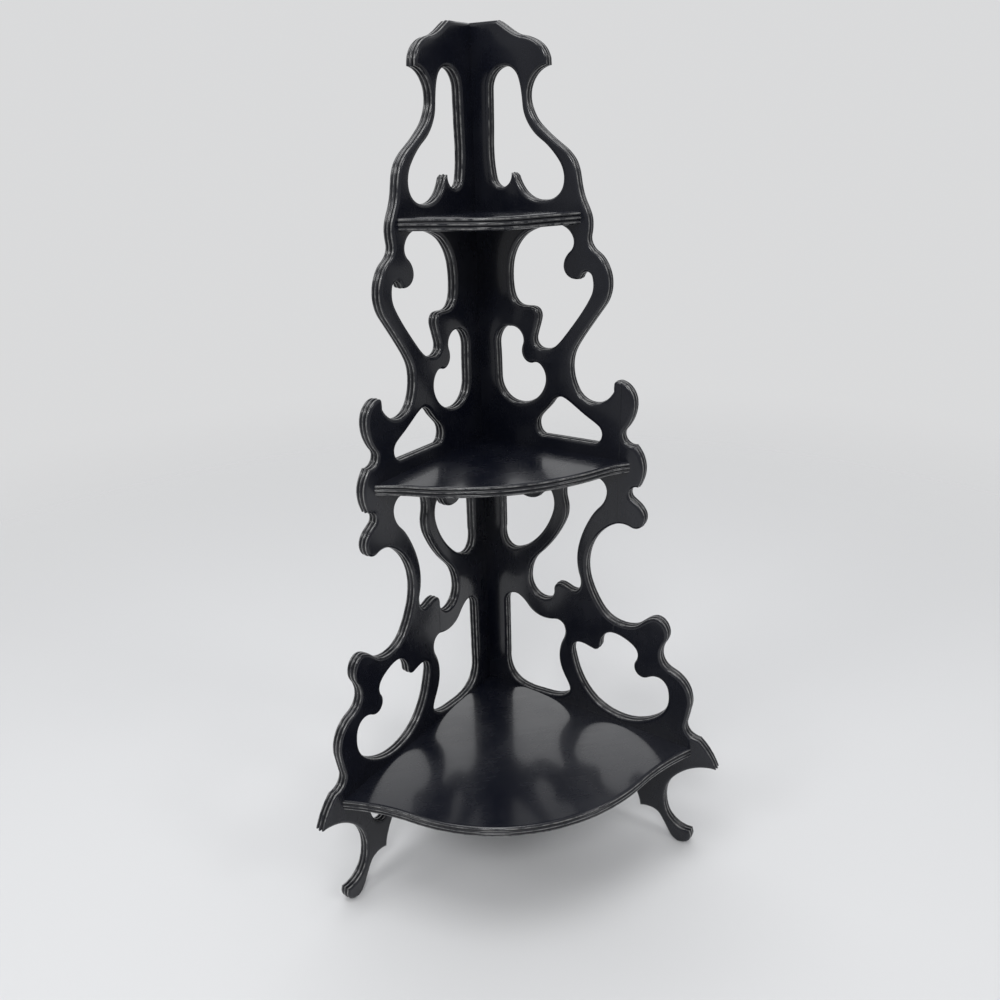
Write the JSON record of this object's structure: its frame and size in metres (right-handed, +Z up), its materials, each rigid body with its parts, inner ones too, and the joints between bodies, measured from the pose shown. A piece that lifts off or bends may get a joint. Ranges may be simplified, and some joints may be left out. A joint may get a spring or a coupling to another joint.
{
  "type": "corner shelf",
  "caption": "Free-standing corner shelf with two pierced fretwork sides, bow-fronted reeded shelves between them and scrolled feet, finished black.",
  "frame": {"origin": "on the floor, midway across and midway between the front of the bottom shelf and the back of the corner", "axes": "+Z up; the open front faces -Y; the corner is at +Y; +X is to the right seen from the front"},
  "size_m": [0.3578, 0.2293, 0.702],
  "materials": {
    "ebonised_wood": "black lacquer on wood, satin gloss, faint grain, edges rubbed",
    "screw_steel": "dull steel with darkened slots"
  },
  "bodies": {
    "root": {"left_inner_board": "ebonised_wood", "left_outer_board": "ebonised_wood", "right_inner_board": "ebonised_wood", "right_ear_board": "ebonised_wood", "right_foot_board": "ebonised_wood", "top_shelf": "ebonised_wood", "middle_shelf": "ebonised_wood", "bottom_shelf": "ebonised_wood", "top_shelf_screws": "screw_steel", "middle_shelf_screws": "screw_steel", "bottom_shelf_screws": "screw_steel", "corner_screws": "screw_steel"}
  },
  "joints": []
}
